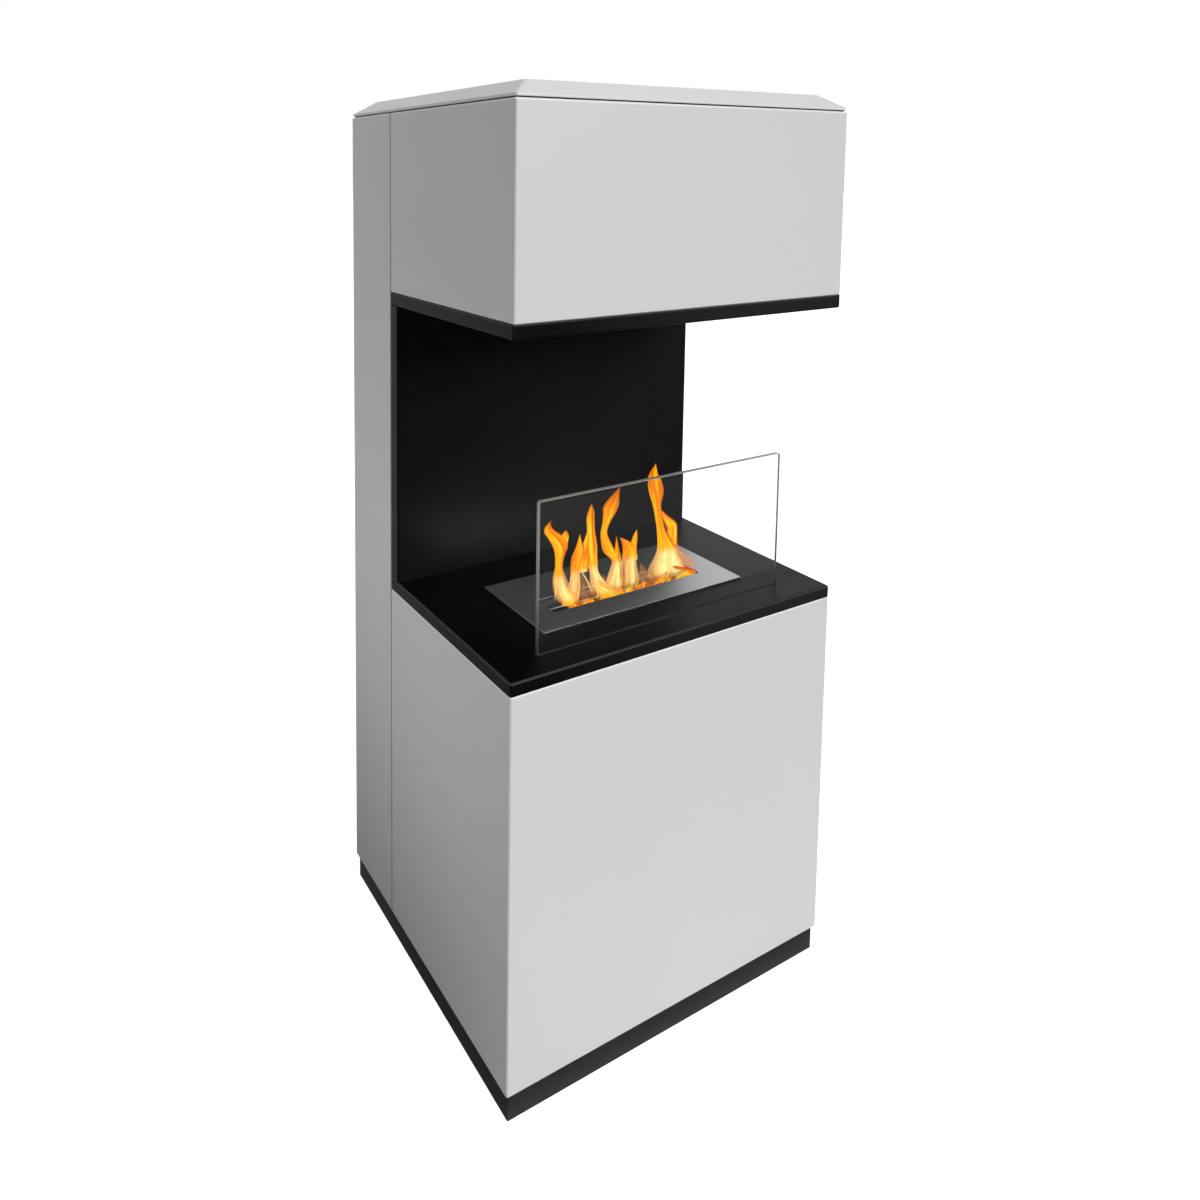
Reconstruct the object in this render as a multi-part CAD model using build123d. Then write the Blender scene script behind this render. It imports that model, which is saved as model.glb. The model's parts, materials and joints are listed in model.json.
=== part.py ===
"""Free-standing bioethanol fireplace, open at the front and on both sides.

Millimetres. The origin lies on the floor at the centre of the footprint.
+X is right, +Y is the back and +Z is up, so the front faces -Y.
"""

from build123d import *
import os

os.makedirs("parts", exist_ok=True)

# --------------------------------------------------------------------------
# Driving dimensions
# --------------------------------------------------------------------------

# the whole piece
overall_width = 500.0
overall_depth = 410.0
overall_height = 1150.0
column_depth = 124.0  # full-height column behind the fire chamber
shelf_height = 512.0  # floor to the top of the shelf
chamber_height = 368.0  # top of the shelf to the underside of the hood

# lacquered boards
panel_thickness = 16.0
panel_edge_radius = 3.0
seam_gap = 3.0  # open joint between the column and the front boxes
seam_depth = 4.0
back_board_thickness = 8.0
back_board_recess = 1.0  # back board in from the rear edges of the column sides
rebate_width = 8.0  # step in the column sides that holds the back board
housing_depth = 5.0  # level boards let into the side panels
batten_width = 18.0

# plinth
plinth_height = 32.0
plinth_inset = 4.0
plinth_thickness = 16.0
plinth_corner_bevel = 0.8
plinth_block_width = 30.0

# cap
cap_thickness = 19.5
cap_gap = 1.5  # shadow line under the cap
cap_spacer_inset = 3.5  # face of the body to the edge of the spacer
cap_inset = 1.0
cap_lip = 3.0  # upright rim below the slope
cap_side_slope_run = 26.0
cap_front_slope_run = 22.0  # also at the rear
cap_corner_radius = 3.0
cap_ridge_radius = 3.0
cap_bottom_bevel = 0.8

# folded steel skins and the boards inside them
sheet_thickness = 1.5
bend_radius = 3.0
corner_seam = 0.6
shelf_edge = 15.0
hood_edge = 17.0
back_skin_depth = 18.0
stud_radius = 2.5
stud_end = 2.0  # stud left showing past its nut
nut_across_flats = 8.0
nut_height = 4.0
stud_edge_distance = 60.0  # stud to the nearest edges of its skin

# glass
glass_width = 380.0
glass_above_shelf = 177.0
glass_thickness = 6.0
glass_setback = 34.5  # front of the fireplace to the front of the glass
glass_corner_radius = 3.0
glass_arris = 0.5
glass_slot_gap = 1.0  # glass to the edge of the slot in the shelf
channel_thickness = 1.2
channel_floor_height = 1.5  # board left under the channel
seal_thickness = 1.0
seal_height = 8.0
seal_gap = 0.3

# burner
plate_length = 320.0
plate_depth = 131.0
plate_thickness = 2.0
plate_corner_radius = 1.5
plate_edge_bevel = 0.25
plate_rim = 9.0  # plate past the tank on every side
burner_x = 3.0  # burner right of the middle
plate_behind_glass = 31.0
slot_length = 240.0
slot_width = 36.0
slot_corner_radius = 3.0
slot_front_margin = 35.0
tank_height = 62.0
tank_wall = 1.5
tank_corner_radius = 6.0
fibre_height = 36.0
fibre_gap = 1.0
screen_thickness = 1.0
screen_rim = 5.0
screen_slot_length = 24.0
screen_slot_width = 6.0
screen_slot_pitch_x = 31.0
screen_slot_pitch_y = 16.0
screen_slot_columns = 8
screen_slot_rows = 3

# slider that closes the burner slot
slider_thickness = 1.2
slider_overlap = 4.0  # slider past the closed slot on every side
slider_gap = 15.5  # open strip of the slot in front of the slider, as the part stands
slider_showing = 3.0  # slider left in view behind the fully open slot
slider_top_gap = 2.0
slider_end_gap = 0.5
slider_lip_height = 7.0
slider_lip_inset = 12.0
hook_hole_radius = 4.0
hook_hole_spacing = 120.0
rail_thickness = 1.2
rail_gap = 0.05
rail_ledge = 3.0  # rail under each end of the slider

# well under the shelf
cutout_gap = 2.0  # tank to the edge of the steel cut-out
core_gap = 6.0  # tank to the edge of the board cut-out
well_thickness = 1.2
well_corner_radius = 6.0
well_floor_gap = 10.0
well_flange = 12.0

# --------------------------------------------------------------------------
# Levels and planes that follow from them
# --------------------------------------------------------------------------

half_width = overall_width / 2
front_y = -overall_depth / 2
rear_y = overall_depth / 2
seam_y = rear_y - column_depth
inner_half_width = half_width - panel_thickness
inner_front_y = front_y + panel_thickness
column_inner_y = seam_y + panel_thickness
back_board_rear_y = rear_y - back_board_recess
back_board_y = back_board_rear_y - back_board_thickness

cap_bottom = overall_height - cap_thickness
body_top = cap_bottom - cap_gap
base_top = shelf_height - shelf_edge
floor_top = plinth_height + panel_thickness
hood_skin_bottom = shelf_height + chamber_height
hood_bottom = hood_skin_bottom + hood_edge
hood_floor_top = hood_bottom + panel_thickness
hood_ceiling = body_top - panel_thickness
back_skin_y = seam_y - back_skin_depth

glass_front_y = front_y + glass_setback
glass_rear_y = glass_front_y + glass_thickness
glass_middle_y = glass_front_y + glass_thickness / 2
groove_floor = base_top + channel_floor_height
groove_top = shelf_height - sheet_thickness
glass_bottom = groove_floor + channel_thickness
channel_inner_half = glass_thickness / 2 + seal_gap + seal_thickness
channel_half = channel_inner_half + channel_thickness
channel_half_length = glass_width / 2 + glass_slot_gap

burner_y = glass_rear_y + plate_behind_glass + plate_depth / 2
plate_top = shelf_height + plate_thickness
tank_length = plate_length - 2 * plate_rim
tank_depth = plate_depth - 2 * plate_rim
tank_bottom = shelf_height - tank_height
fibre_top = tank_bottom + tank_wall + fibre_height
slot_front_y = burner_y - plate_depth / 2 + slot_front_margin
slot_y = slot_front_y + slot_width / 2
well_length = tank_length + 2 * core_gap
well_depth = tank_depth + 2 * core_gap
well_floor = tank_bottom - well_floor_gap

slider_length = slot_length + 2 * slider_overlap
slider_depth = slot_width + 2 * slider_overlap
slider_top = shelf_height - slider_top_gap
slider_bottom = slider_top - slider_thickness
slider_front_y = slot_front_y + slider_gap
slider_opening_travel = slot_width - slider_gap - slider_showing
slider_closing_travel = slider_gap + slider_overlap

stud_x = half_width - stud_edge_distance

# --------------------------------------------------------------------------
# Shapes used more than once
# --------------------------------------------------------------------------


def span_box(x0, x1, y0, y1, z0, z1):
    """A box from one corner to the other."""
    centre = Pos((x0 + x1) / 2, (y0 + y1) / 2, (z0 + z1) / 2)
    return centre * Box(x1 - x0, y1 - y0, z1 - z0)


def plan_prism(points, z0, z1):
    """An upright prism over an outline in plan."""
    outline = make_face(Polyline(*points, close=True))
    return Pos(0, 0, z0) * extrude(outline, z1 - z0)


def mitred_space(length, thickness, z0, z1):
    """The room of a board with mitred ends, its outer face at y = 0; roomy on its square sides."""
    t = thickness
    near, far = length / 2 + t, length / 2 - 2 * t
    points = [(-near, -t), (near, -t), (far, 2 * t), (-far, 2 * t)]
    return plan_prism(points, z0 - t, z1 + t)


def rounded_block(length, depth, radius, z0, z1):
    """A block over the burner with rounded upright corners."""
    outline = RectangleRounded(length, depth, radius)
    return Pos(burner_x, burner_y, z0) * extrude(outline, z1 - z0)


def laid_back(shape):
    """The shape turned from +Z to point along +Y."""
    return Rot(-90, 0, 0) * shape


def corners():
    """Signs of the four corners: left or right, then front or rear."""
    return [(side, end) for side in (-1, 1) for end in (-1, 1)]


# --------------------------------------------------------------------------
# Fasteners
# --------------------------------------------------------------------------


def on_hood_plate(shape, height):
    """Copies of an upright shape at the four stud places of the hood plate."""
    y_middle = (front_y + seam_y) / 2
    y_reach = (seam_y - front_y) / 2 - stud_edge_distance
    z = hood_skin_bottom + sheet_thickness + height
    return [Pos(side * stud_x, y_middle + end * y_reach, z) * shape for side, end in corners()]


def on_back_skin(shape, depth):
    """Copies of an upright shape, laid back, at the two stud places of the back skin."""
    y = back_skin_y + sheet_thickness + depth
    z = shelf_height + chamber_height / 2
    return [Pos(side * stud_x, y, z) * laid_back(shape) for side in (-1, 1)]


def stud(grip):
    """A stud that clamps the stated thickness under its nut."""
    length = grip + nut_height + stud_end
    return Cylinder(stud_radius, length, align=(Align.CENTER, Align.CENTER, Align.MIN))


def hexagon_nut():
    """A plain nut that fits the studs."""
    hexagon = RegularPolygon(nut_across_flats / 2, 6, major_radius=False)
    return extrude(hexagon - Circle(stud_radius), nut_height)


# --------------------------------------------------------------------------
# Pieces that others are cut to fit
# --------------------------------------------------------------------------


def housed_board(y0, y1, z0, z1):
    """A board between the side panels, let into both of them."""
    x = inner_half_width + housing_depth
    return span_box(-x, x, y0, y1, z0, z1)


base_floor = housed_board(inner_front_y, seam_y, plinth_height, floor_top)
column_floor = housed_board(column_inner_y, back_board_y, plinth_height, floor_top)
hood_floor = housed_board(inner_front_y, seam_y, hood_bottom, hood_floor_top)
hood_top = housed_board(inner_front_y, seam_y, hood_ceiling, body_top)
column_top = housed_board(column_inner_y, back_board_y, hood_ceiling, body_top)
column_front = housed_board(seam_y, column_inner_y, plinth_height, body_top)

hood_grip = hood_edge - sheet_thickness + panel_thickness
back_grip = back_skin_depth - sheet_thickness + panel_thickness
hood_studs = on_hood_plate(stud(hood_grip), 0)
hood_nuts = on_hood_plate(hexagon_nut(), hood_grip)
back_studs = on_back_skin(stud(back_grip), 0)
back_nuts = on_back_skin(hexagon_nut(), back_grip)

# --------------------------------------------------------------------------
# Plinth
# --------------------------------------------------------------------------


def plinth_ring():
    """The closed ring that the four plinth boards make."""
    x = half_width - plinth_inset
    y = overall_depth / 2 - plinth_inset
    outer = span_box(-x, x, -y, y, 0, plinth_height)
    outer = chamfer(outer.edges().filter_by(Axis.Z), plinth_corner_bevel)
    t = plinth_thickness
    return outer - span_box(-x + t, x - t, -y + t, y - t, 0, plinth_height)


def plinth_boards():
    """The front, right, back and left boards of the plinth, mitred at the corners."""
    width = overall_width - 2 * plinth_inset
    depth = overall_depth - 2 * plinth_inset
    ring = plinth_ring()
    boards = []
    for turn in (0, 90, 180, 270):
        length, reach = (width, depth) if turn % 180 == 0 else (depth, width)
        space = mitred_space(length, plinth_thickness, 0, plinth_height)
        boards.append(ring & Rot(0, 0, turn) * Pos(0, -reach / 2) * space)
    return boards


def plinth_blocks():
    """Glued corner blocks inside the plinth."""
    block = Box(
        plinth_block_width,
        plinth_block_width,
        plinth_height,
        align=(Align.CENTER, Align.CENTER, Align.MIN),
    )
    reach = plinth_inset + plinth_thickness + plinth_block_width / 2
    x = half_width - reach
    y = overall_depth / 2 - reach
    return [Pos(side * x, end * y, 0) * block for side, end in corners()]


# --------------------------------------------------------------------------
# Lower box and hood: three mitred panels each
# --------------------------------------------------------------------------


def three_sided_shell(z0, z1):
    """Front and side panels as one soft-edged shell, open to the rear."""
    block = span_box(-half_width, half_width, front_y, seam_y, z0, z1)
    shown = block.edges() - block.faces().sort_by(Axis.Y)[-1].edges()
    block = fillet(shown, panel_edge_radius)
    inside = span_box(-inner_half_width, inner_half_width, inner_front_y, seam_y, z0, z1)
    return block - inside


def front_and_sides(z0, z1):
    """The front, left and right panels of a front box, mitred at the front corners."""
    shell = three_sided_shell(z0, z1)
    space = Pos(0, front_y) * mitred_space(overall_width, panel_thickness, z0, z1)
    left, right = (shell - space).solids().sort_by(Axis.X)
    return shell & space, left, right


def corner_battens(z0, z1):
    """Glued battens in the four inner corners of a front box."""
    height = z1 - z0
    batten = Box(batten_width, batten_width, height, align=(Align.CENTER, Align.CENTER, Align.MIN))
    x = inner_half_width - batten_width / 2
    y_middle = (inner_front_y + seam_y) / 2
    y_reach = (seam_y - inner_front_y - batten_width) / 2
    return [Pos(side * x, y_middle + end * y_reach, z0) * batten for side, end in corners()]


# --------------------------------------------------------------------------
# Column
# --------------------------------------------------------------------------


def column_block():
    """The outline of the column, soft at the rear, with the open joint down both sides."""
    block = span_box(-half_width, half_width, seam_y, rear_y, plinth_height, body_top)
    shown = block.edges() - block.faces().sort_by(Axis.Y)[0].edges()
    block = fillet(shown, panel_edge_radius)
    gap_end = seam_y + seam_gap
    for side in (-1, 1):
        x0, x1 = sorted((side * half_width, side * (half_width - seam_depth)))
        block -= span_box(x0, x1, seam_y, gap_end, plinth_height, body_top)
    return block


def column_side(side):
    """A column side with the step for the back board."""
    x0, x1 = sorted((side * half_width, side * inner_half_width))
    panel = column_block() & span_box(x0, x1, seam_y, rear_y, plinth_height, body_top)
    step = inner_half_width + rebate_width
    panel -= span_box(-step, step, back_board_y, rear_y, plinth_height, body_top)
    return panel - [column_floor, column_top, column_front]


def column_back():
    """The back board, set into the steps of the column sides."""
    x = inner_half_width + rebate_width
    return span_box(-x, x, back_board_y, back_board_rear_y, plinth_height, body_top)


# --------------------------------------------------------------------------
# Cap
# --------------------------------------------------------------------------


def cap_spacer():
    """The thin black sheet that holds the cap off the body and makes the shadow line."""
    x = half_width - cap_spacer_inset
    y = overall_depth / 2 - cap_spacer_inset
    return span_box(-x, x, -y, y, body_top, cap_bottom)


def cap_outline(side_inset, front_inset):
    """The outline of the cap, moved in from the sides and from the front and rear."""
    width = overall_width - 2 * (cap_inset + side_inset)
    depth = overall_depth - 2 * (cap_inset + front_inset)
    return RectangleRounded(width, depth, cap_corner_radius)


def top_cap():
    """The cap, sloped all round above a thin upright rim."""
    rim_top = cap_bottom + cap_lip
    lower = cap_outline(0, 0)
    upper = cap_outline(cap_side_slope_run, cap_front_slope_run)
    rim = Pos(0, 0, cap_bottom) * extrude(lower, cap_lip)
    slope = loft([Pos(0, 0, rim_top) * lower, Pos(0, 0, overall_height) * upper])
    cap = fillet((rim + slope).edges().group_by(Axis.Z)[-1], cap_ridge_radius)
    return chamfer(cap.edges().group_by(Axis.Z)[0], cap_bottom_bevel)


# --------------------------------------------------------------------------
# Folded steel skins and the boards that fill them
# --------------------------------------------------------------------------


def pan_block(inset, edge_height):
    """The sharp block inside a folded skin's faces, and the edges it folds on."""
    x = half_width - inset
    block = span_box(-x, x, front_y + inset, seam_y, -edge_height, -inset)
    rear = block.faces().sort_by(Axis.Y)[-1].edges()
    rim = block.faces().sort_by(Axis.Z)[0].edges()
    return block, block.edges() - rear - rim


def folded_pan(edge_height):
    """Sheet at z = 0 folded down at the front and both sides, with open corner seams."""
    outer, outer_folds = pan_block(0, edge_height)
    inner, inner_folds = pan_block(sheet_thickness, edge_height)
    pan = fillet(outer_folds, bend_radius) - fillet(inner_folds, bend_radius - sheet_thickness)
    seam_length = 2 * (bend_radius + sheet_thickness)
    seam_height = edge_height - bend_radius
    seam = Box(seam_length, corner_seam, seam_height, align=(Align.CENTER, Align.CENTER, Align.MIN))
    for side in (-1, 1):
        pan -= Pos(side * half_width, front_y, -edge_height) * Rot(0, 0, -side * 45) * seam
    return pan


def pan_filling(edge_height):
    """The board that fills a folded skin, bevelled to clear the bends."""
    folds = pan_block(sheet_thickness, edge_height)[1]
    return chamfer(folds, bend_radius - sheet_thickness)


def turned_over(shape):
    """The shape upside down, with left and right kept by its symmetry."""
    return Rot(0, 180, 0) * shape


def glass_slot(z0, z1):
    """The slot in the shelf skin that the glass stands in."""
    gap = glass_slot_gap
    x = channel_half_length
    return span_box(-x, x, glass_front_y - gap, glass_rear_y + gap, z0, z1)


def shelf_pan():
    """The black steel shelf with its burner cut-out and glass slot."""
    pan = Pos(0, 0, shelf_height) * folded_pan(shelf_edge)
    cutout = rounded_block(
        tank_length + 2 * cutout_gap,
        tank_depth + 2 * cutout_gap,
        tank_corner_radius,
        base_top,
        shelf_height,
    )
    return pan - cutout - glass_slot(groove_top, shelf_height)


def shelf_core():
    """The board in the shelf, cut for the burner well and grooved for the glass channel."""
    core = Pos(0, 0, shelf_height) * pan_filling(shelf_edge)
    groove = span_box(
        -channel_half_length,
        channel_half_length,
        glass_middle_y - channel_half,
        glass_middle_y + channel_half,
        groove_floor,
        groove_top,
    )
    return core - well_block() - well_collar() - groove


def hood_pan():
    """The black steel plate under the hood, its edges turned up."""
    return Pos(0, 0, hood_skin_bottom) * turned_over(folded_pan(hood_edge))


def hood_core():
    """The insulating board above the fire."""
    core = Pos(0, 0, hood_skin_bottom) * turned_over(pan_filling(hood_edge))
    return core - hood_studs


def back_outline(inset):
    """The plan outline of the back skin, moved in by the inset, and its two front corners."""
    x = half_width - inset
    depth = back_skin_depth - inset
    outline = Pos(0, seam_y - depth / 2) * Rectangle(2 * x, depth)
    return outline, outline.vertices().group_by(Axis.Y)[0]


def back_pan():
    """The black steel skin behind the fire, its side edges folded back."""
    outer = fillet(back_outline(0)[1], bend_radius)
    inner = fillet(back_outline(sheet_thickness)[1], bend_radius - sheet_thickness)
    return Pos(0, 0, shelf_height) * extrude(outer - inner, chamber_height)


def back_core():
    """The insulating board behind the fire, bevelled to clear the folds."""
    outline = chamfer(back_outline(sheet_thickness)[1], bend_radius - sheet_thickness)
    return Pos(0, 0, shelf_height) * extrude(outline, chamber_height) - back_studs


# --------------------------------------------------------------------------
# Glass and its channel
# --------------------------------------------------------------------------


def glass_pane():
    """Toughened pane with rounded top corners and a fine arris all round."""
    height = shelf_height + glass_above_shelf - glass_bottom
    outline = Rectangle(glass_width, height, align=(Align.CENTER, Align.MIN))
    outline = fillet(outline.vertices().group_by(Axis.Y)[-1], glass_corner_radius)
    pane = Rot(90, 0, 0) * extrude(outline, glass_thickness)
    pane = Pos(0, glass_rear_y, glass_bottom) * pane
    broad = pane.faces().sort_by(Axis.Y)
    return chamfer(broad[0].edges() + broad[-1].edges(), glass_arris)


def glass_channel():
    """The folded channel sunk in the shelf board."""
    half, inner = channel_half, channel_inner_half
    x = channel_half_length
    block = span_box(-x, x, glass_middle_y - half, glass_middle_y + half, groove_floor, groove_top)
    hollow = span_box(-x, x, glass_middle_y - inner, glass_middle_y + inner, glass_bottom, groove_top)
    return block - hollow


def glass_seals():
    """Heat-proof strips down both walls of the channel."""
    z0 = groove_top - seal_height
    strips = []
    for end in (-1, 1):
        wall = glass_middle_y + end * channel_inner_half
        face = wall - end * seal_thickness
        x = channel_half_length
        strips.append(span_box(-x, x, *sorted((wall, face)), z0, groove_top))
    return strips


# --------------------------------------------------------------------------
# Burner
# --------------------------------------------------------------------------


def burner_plate():
    """The brushed top plate with its flame slot."""
    plate = rounded_block(plate_length, plate_depth, plate_corner_radius, shelf_height, plate_top)
    plate = chamfer(plate.edges().group_by(Axis.Z)[-1], plate_edge_bevel)
    slot = extrude(RectangleRounded(slot_length, slot_width, slot_corner_radius), plate_thickness)
    return plate - Pos(burner_x, slot_y, shelf_height) * slot


def burner_tank():
    """The welded fuel tank under the plate."""
    t = tank_wall
    outer = rounded_block(tank_length, tank_depth, tank_corner_radius, tank_bottom, shelf_height)
    inner = rounded_block(
        tank_length - 2 * t,
        tank_depth - 2 * t,
        tank_corner_radius - t,
        tank_bottom + t,
        shelf_height,
    )
    return outer - inner


def fibre_block():
    """The ceramic wool that soaks up the fuel."""
    shrink = 2 * (tank_wall + fibre_gap)
    return rounded_block(
        tank_length - shrink,
        tank_depth - shrink,
        tank_corner_radius - tank_wall,
        tank_bottom + tank_wall,
        fibre_top,
    )


def fibre_screen():
    """The slotted steel screen that holds the wool down."""
    shrink = 2 * (tank_wall + fibre_gap)
    length, depth = tank_length - shrink, tank_depth - shrink
    radius = tank_corner_radius - tank_wall
    t = screen_thickness
    tray = rounded_block(length, depth, radius, fibre_top, fibre_top + screen_rim)
    hollow = rounded_block(
        length - 2 * t, depth - 2 * t, radius - t, fibre_top + t, fibre_top + screen_rim
    )
    opening = extrude(Rectangle(screen_slot_length, screen_slot_width), t)
    pattern = GridLocations(
        screen_slot_pitch_x, screen_slot_pitch_y, screen_slot_columns, screen_slot_rows
    )
    openings = [Pos(burner_x, burner_y, fibre_top) * place * opening for place in pattern]
    return tray - hollow - openings


def slider_rails():
    """Angle rails welded under the plate at both ends of the slot."""
    ledge_top = slider_bottom - rail_gap
    ledge_bottom = ledge_top - rail_thickness
    y0 = slider_front_y - slider_closing_travel - slider_end_gap
    y1 = slider_front_y + slider_opening_travel + slider_depth
    rails = []
    for side in (-1, 1):
        slider_end = slider_length / 2
        tip = burner_x + side * (slider_end - rail_ledge)
        inner = burner_x + side * (slider_end + slider_end_gap)
        outer = inner + side * rail_thickness
        ledge = span_box(*sorted((tip, outer)), y0, y1, ledge_bottom, ledge_top)
        web = span_box(*sorted((inner, outer)), y0, y1, ledge_bottom, shelf_height)
        rails.append(ledge + web)
    return rails


def burner_slider():
    """The flat slider with a turned-down pull lip and two hook holes."""
    x0 = burner_x - slider_length / 2
    x1 = burner_x + slider_length / 2
    y0 = slider_front_y
    sheet = span_box(x0, x1, y0, y0 + slider_depth, slider_bottom, slider_top)
    lip = span_box(
        x0 + slider_lip_inset,
        x1 - slider_lip_inset,
        y0,
        y0 + slider_thickness,
        slider_bottom - slider_lip_height,
        slider_bottom,
    )
    hole = Cylinder(hook_hole_radius, 3 * slider_thickness)
    hole_y = y0 + slider_depth / 2
    for side in (-1, 1):
        x = burner_x + side * hook_hole_spacing / 2
        sheet -= Pos(x, hole_y, slider_bottom) * hole
    return sheet + lip


def well_block():
    """The outer form of the well below its collar."""
    t = well_thickness
    return rounded_block(
        well_length + 2 * t, well_depth + 2 * t, well_corner_radius + t, well_floor - t, groove_top
    )


def well_collar():
    """The collar of the well, let into the shelf board under the steel skin."""
    t = well_thickness
    reach = 2 * (t + well_flange)
    return rounded_block(
        well_length + reach, well_depth + reach, well_corner_radius + t, groove_top - t, groove_top
    )


def burner_well():
    """The steel well around the tank, hung by its collar."""
    inner = rounded_block(well_length, well_depth, well_corner_radius, well_floor, groove_top)
    return well_block() + well_collar() - inner


# --------------------------------------------------------------------------
# Every piece under its name
# --------------------------------------------------------------------------

plinth_front, plinth_right, plinth_back, plinth_left = plinth_boards()
base_front, base_left, base_right = front_and_sides(plinth_height, base_top)
hood_front, hood_left, hood_right = front_and_sides(hood_bottom, body_top)

pieces = {
    "plinth_front": plinth_front,
    "plinth_back": plinth_back,
    "plinth_left": plinth_left,
    "plinth_right": plinth_right,
    "plinth_blocks": plinth_blocks(),
    "base_floor": base_floor,
    "base_front": base_front,
    "base_left_side": base_left - base_floor,
    "base_right_side": base_right - base_floor,
    "base_battens": corner_battens(floor_top, base_top),
    "column_floor": column_floor,
    "column_left_side": column_side(-1),
    "column_right_side": column_side(1),
    "column_front": column_front - back_studs,
    "column_back": column_back(),
    "column_top": column_top,
    "hood_front": hood_front,
    "hood_left_side": hood_left - hood_floor - hood_top,
    "hood_right_side": hood_right - hood_floor - hood_top,
    "hood_floor": hood_floor - hood_studs,
    "hood_top": hood_top,
    "hood_battens": corner_battens(hood_floor_top, hood_ceiling),
    "cap_spacer": cap_spacer(),
    "top_cap": top_cap(),
    "shelf_pan": shelf_pan(),
    "shelf_core": shelf_core(),
    "hood_pan": hood_pan(),
    "hood_core": hood_core(),
    "hood_studs": hood_studs,
    "hood_nuts": hood_nuts,
    "back_pan": back_pan(),
    "back_core": back_core(),
    "back_studs": back_studs,
    "back_nuts": back_nuts,
    "burner_well": burner_well(),
    "glass_channel": glass_channel(),
    "glass_seals": glass_seals(),
    "burner_plate": burner_plate(),
    "burner_tank": burner_tank(),
    "ceramic_fibre": fibre_block(),
    "fibre_screen": fibre_screen(),
    "slider_rails": slider_rails(),
    "burner_slider": burner_slider(),
    "glass_pane": glass_pane(),
}

for name, piece in pieces.items():
    shape = Compound(children=piece) if isinstance(piece, list) else piece
    export_step(shape, f"parts/{name}.step")
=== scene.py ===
import json
import math

import bmesh
import bpy
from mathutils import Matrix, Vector, noise


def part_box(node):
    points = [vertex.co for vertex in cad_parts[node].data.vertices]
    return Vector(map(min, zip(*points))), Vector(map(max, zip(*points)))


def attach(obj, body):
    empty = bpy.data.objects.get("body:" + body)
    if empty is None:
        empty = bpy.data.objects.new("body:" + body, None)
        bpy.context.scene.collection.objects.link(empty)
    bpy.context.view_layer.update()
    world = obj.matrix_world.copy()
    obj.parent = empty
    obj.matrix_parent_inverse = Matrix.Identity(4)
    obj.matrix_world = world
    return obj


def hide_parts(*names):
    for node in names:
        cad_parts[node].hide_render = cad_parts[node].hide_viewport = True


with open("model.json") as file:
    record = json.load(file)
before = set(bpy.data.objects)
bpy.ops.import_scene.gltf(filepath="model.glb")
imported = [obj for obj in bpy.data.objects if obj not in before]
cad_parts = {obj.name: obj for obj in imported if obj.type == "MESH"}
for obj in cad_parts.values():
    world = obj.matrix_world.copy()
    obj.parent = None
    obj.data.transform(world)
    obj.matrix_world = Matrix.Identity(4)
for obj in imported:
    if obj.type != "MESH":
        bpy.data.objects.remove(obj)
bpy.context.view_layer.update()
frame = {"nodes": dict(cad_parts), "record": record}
SHELF_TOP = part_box("shelf_pan")[1][2]
CAP_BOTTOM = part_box("top_cap")[0][2]
HOOD_PLATE_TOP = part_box("hood_pan")[1][2]
PLATE_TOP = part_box("burner_plate")[1][2]
SLIDER_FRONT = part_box("burner_slider")[0][1]
SLIDER_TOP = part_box("burner_slider")[1][2]


# --------------------------------------------------------------------------
# Node helpers
# --------------------------------------------------------------------------


def new_material(name):
    """A material with one Principled shader; returns it, its tree and the shader."""
    material = bpy.data.materials.new(name)
    material.use_nodes = True
    tree = material.node_tree
    return material, tree, tree.nodes["Principled BSDF"]


def node(tree, kind, **values):
    """A node of the kind, its sockets and settings filled in by name."""
    made = tree.nodes.new(kind)
    for key, value in values.items():
        if key in made.inputs:
            made.inputs[key].default_value = value
        else:
            setattr(made, key, value)
    return made


def link(tree, source, target):
    """Join an output socket to an input socket."""
    tree.links.new(source, target)


def grey(value):
    """A neutral colour."""
    return (value, value, value)


def object_coords(tree, scale=(1.0, 1.0, 1.0)):
    """Coordinates in metres that stay with the piece, stretched by the scale."""
    coords = node(tree, "ShaderNodeTexCoord")
    mapping = node(tree, "ShaderNodeMapping")
    mapping.inputs["Scale"].default_value = scale
    link(tree, coords.outputs["Object"], mapping.inputs["Vector"])
    return mapping.outputs["Vector"]


def noise_at(tree, vector, scale, detail=3.0, roughness=0.5):
    """Noise between 0 and 1 at the place that the vector gives."""
    texture = node(tree, "ShaderNodeTexNoise", Scale=scale, Detail=detail, Roughness=roughness)
    link(tree, vector, texture.inputs["Vector"])
    return texture.outputs["Fac"]


def remap(tree, value, low, high, from_low=0.0, from_high=1.0):
    """The value moved from one range into another."""
    mapped = node(tree, "ShaderNodeMapRange")
    mapped.inputs["From Min"].default_value = from_low
    mapped.inputs["From Max"].default_value = from_high
    mapped.inputs["To Min"].default_value = low
    mapped.inputs["To Max"].default_value = high
    link(tree, value, mapped.inputs["Value"])
    return mapped.outputs["Result"]


def colour_sockets(mix):
    """The two colour inputs and the colour output of a Mix node."""
    first, second = [socket for socket in mix.inputs if socket.type == "RGBA"]
    return first, second, next(socket for socket in mix.outputs if socket.type == "RGBA")


def two_colours(tree, factor, low_colour, high_colour):
    """A colour between two, by the factor; each may be a colour or a socket."""
    mix = node(tree, "ShaderNodeMix", data_type="RGBA")
    first, second, result = colour_sockets(mix)
    for socket, colour in ((first, low_colour), (second, high_colour)):
        if isinstance(colour, tuple):
            socket.default_value = (*colour, 1.0)
        else:
            link(tree, colour, socket)
    link(tree, factor, mix.inputs["Factor"])
    return result


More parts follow.
